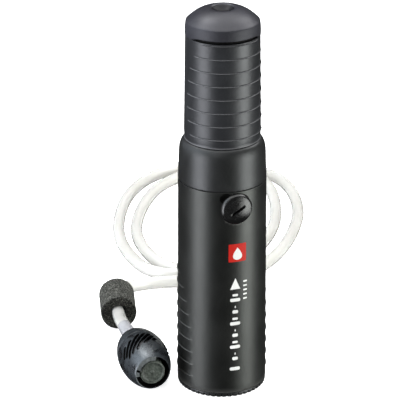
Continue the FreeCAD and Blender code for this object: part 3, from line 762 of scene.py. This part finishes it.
def slot_cutter():
    """Three patches of seven slanting slots, as one mesh of closed cutters."""
    points = []
    faces = []
    for patch in SLOT_PATCHES:
        for k, length in zip(range(-3, 4), SLOT_LENGTHS):
            middle = patch + SLOT_STEP * k
            base = len(points)
            for i in range(SLOT_SECTIONS):
                step = i / (SLOT_SECTIONS - 1) - 0.5
                half = SLOT_HALF_WIDTH * math.sqrt(max(0.05, 1.0 - abs(2.0 * step) ** 9))
                z = (SLOT_MIDDLE + length * step) * EGG_HALF
                turn = math.radians(middle + SLOT_SWEEP * length * step)
                radial = Vector((-math.sin(turn), math.cos(turn), 0.0))
                width_way = Vector((-0.748 * math.cos(turn), -0.748 * math.sin(turn), -0.664))
                for depth, sign in ((-3.6, -1), (1.2, -1), (1.2, 1), (-3.6, 1)):
                    middle_line = radial * (egg_at(z) + depth) + Vector((0.0, 0.0, z))
                    points.append(middle_line + width_way * half * sign)
            for i in range(SLOT_SECTIONS - 1):
                for j in range(4):
                    a = base + 4 * i
                    faces.append((a + j, a + (j + 1) % 4, a + 4 + (j + 1) % 4, a + 4 + j))
            faces.append((base + 3, base + 2, base + 1, base))
            end = base + 4 * (SLOT_SECTIONS - 1)
            faces.append((end, end + 1, end + 2, end + 3))
    return points, faces


def make_prefilter():
    shell = [(egg_at(z), z) for z in np.linspace(EGG_SEAM + 0.35, 21.8, 40)]
    inner = [(egg_at(z, EGG_WALL), z) for z in np.linspace(13.4, EGG_SEAM + 0.1, 26)]
    outline = [(egg_at(EGG_SEAM) - 0.3, EGG_SEAM + 0.05)] + shell
    outline += [(11.98, 22.3), (11.8, 22.5), (11.6, 22.4), (11.55, 22.0), (11.5, 19.0), (11.5, 16.0),
                (11.4, 15.7), (11.1, 15.6), (9.1, 15.6), (8.9, 15.4), (8.9, 14.2), (9.1, 14.0),
                (13.2, 14.0)] + inner
    front = lathe("egg_front", outline, egg_plastic, "root",
                  ["prefilter_front_shell"], 240, front_relief)
    points, faces = slot_cutter()
    cut_away(front, piece("slots", points, faces, egg_plastic, None))
    front.data.materials.append(painted_shade_black)
    front.data.materials.append(lug_plastic)
    # Faces inside the front shell, in the mouth's recess and on the slot walls get painted shade (black); the
    # lug's top gets the pale grey lug plastic.
    for polygon in front.data.polygons:
        x, y, z = polygon.center / MM
        if z < MOUTH_Z and math.hypot(x, y) < egg_at(z) - 0.2:
            polygon.material_index = 1
        elif z > 22.5 and math.hypot(x, y) < 11.9:
            polygon.material_index = 2
    front.data.transform(EGG_PLACE)
    rear = [(egg_at(z), z) for z in np.linspace(EGG_SEAM - 0.35, -31.0, 34)]
    outline = [(egg_at(EGG_SEAM) - 0.3, EGG_SEAM - 0.05)] + rear + [(3.7, -31.35), (3.3, -31.2), (3.3, -29.6)]
    outline += [(egg_at(z, EGG_WALL), z) for z in np.linspace(-29.4, EGG_SEAM - 0.1, 26)]
    back = lathe("egg_rear", outline, egg_plastic, "root", ["prefilter_rear_shell"], 200,
                 matrix=EGG_PLACE)
    cap = [(0.0, 21.9), (0.8, 21.85), (1.2, 21.5), (1.5, 21.25), (4.0, 21.2), (6.6, 21.2), (6.9, 21.4),
           (7.1, 22.2), (7.4, 22.5), (7.9, 22.55), (8.3, 22.3), (8.5, 21.8), (8.5, 14.0), (8.7, 13.7),
           (10.0, 13.7), (10.1, 13.5), (10.1, 12.0), (6.0, 12.0), (6.0, 19.4), (0.0, 19.4)]
    lid = lathe("intake_cap", cap, disc_plastic, "prefilter_cap",
                ["prefilter_cap"], 144, matrix=EGG_PLACE)
    stem = [(1.5, -42.5), (2.2, -42.5), (2.45, -41.8), (2.45, -33.4), (4.7, -33.4), (5.0, -33.1),
            (5.0, -31.9), (4.7, -31.6), (3.25, -31.6), (3.25, -22.0), (1.5, -22.0)]
    stem = lathe("hose_stem", rounded(stem, 0.2, 2), fitting_plastic, "root",
                 ["prefilter_nipple"], 72, matrix=EGG_PLACE)
    return [front, back, lid, stem]


# ---- printed marks --------------------------------------------------------------------------------
PRINT_RADIUS = 29.3
DROP_LIFT = 1.0022


def degrees_wide(width):
    """The azimuth that a width in millimetres takes up on the housing."""
    return width / PRINT_RADIUS * 180.0 / math.pi


def printed(name, shapes, material):
    """Flat shapes, each a list of (azimuth in degrees, z) points, wrapped round the housing as thin ink."""
    form = bmesh.new()
    for shape in shapes:
        form.faces.new([form.verts.new((a, z, 0.0)) for a, z in shape])
    bmesh.ops.triangulate(form, faces=form.faces)
    for a in np.arange(-16.0, 18.0, 1.0):
        whole = form.verts[:] + form.edges[:] + form.faces[:]
        bmesh.ops.bisect_plane(form, geom=whole, plane_co=(a + 0.37, 0, 0), plane_no=(1, 0, 0))
    form.verts.ensure_lookup_table()
    flat = [(v.co.x, v.co.y) for v in form.verts]
    tiles = [[v.index for v in f.verts] for f in form.faces]
    rims = [[v.index for v in e.verts] for e in form.edges if len(e.link_faces) == 1]
    form.free()
    points = []
    for lift in (-0.04, 0.07):
        for a, z in flat:
            r = housing_radius(z) + lift
            points.append((r * math.sin(math.radians(a)), -r * math.cos(math.radians(a)), z))
    count = len(flat)
    faces = [tuple(t[::-1]) for t in tiles] + [tuple(i + count for i in t) for t in tiles]
    faces += [(a, b, b + count, a + count) for a, b in rims]
    return piece(name, points, faces, material, "root", sharp=30.0)


def rectangle(a0, a1, z0, z1, corner=0.0):
    """A rectangle in azimuth and height with rounded corners, corner in millimetres."""
    if not corner:
        return [(a0, z0), (a1, z0), (a1, z1), (a0, z1)]
    wide = degrees_wide(corner)
    points = []
    for ca, cz, start in ((a1 - wide, z1 - corner, 0), (a0 + wide, z1 - corner, 90),
                          (a0 + wide, z0 + corner, 180), (a1 - wide, z0 + corner, 270)):
        for t in np.radians(start + np.linspace(0, 90, 6)):
            points.append((ca + wide * math.cos(t), cz + corner * math.sin(t)))
    return points


def make_print():
    printed("badge", [rectangle(-10.4, 13.5, 99.4, 112.1, 0.5)], badge_red)
    drop = []
    for t in np.linspace(0.0, 2.0 * math.pi, 36, endpoint=False):
        x = 4.3 * math.sin(t) * math.sin(t / 2.0) ** 1.3
        drop.append((1.55 + degrees_wide(x), 105.2 + 4.4 * math.cos(t)))
    drop_mesh = printed("badge_drop", [drop], print_white)
    for vertex in drop_mesh.data.vertices:
        vertex.co.x *= DROP_LIFT
        vertex.co.y *= DROP_LIFT
    marks = [[(-8.0, 79.6), (5.5, 79.6), (-1.25, 87.6)]]
    for z, low, high in ((70.6, -8.0, 5.5), (62.0, -5.0, 2.6), (53.4, -8.0, 5.5), (44.8, -5.0, 2.6),
                         (36.2, -8.0, 5.5), (27.6, -5.0, 2.6)):
        marks.append(rectangle(low, high, z, z + 2.4, 0.9))
        marks.append(rectangle(low + 3.0, high - 3.0, z + 3.9, z + 5.6, 0.8))
    marks.append(rectangle(-8.0, 5.5, 20.0, 22.4, 0.9))
    printed("flow_marks", marks, print_white)
    small = [rectangle(9.7, 15.2, z, z + 1.1, 0.4) for z in (71.5, 74.6, 77.7, 80.8, 83.9)]
    printed("side_marks", small, print_white)


# ---- making ---------------------------------------------------------------------------------------
make_camera()
hose = make_hose()
for row in frame["record"]["subparts"]:
    for holder in nodes[row["node"]].material_slots:
        holder.material = slot_materials[row["material_slot"]]
make_studio()
make_sleeve()
make_cap()
make_housing()
make_upper_housing()
make_foot()
make_access_plug()
make_nipples()
cuff = make_cuff()
egg_pieces = make_prefilter()
foam_float = make_float()
make_print()
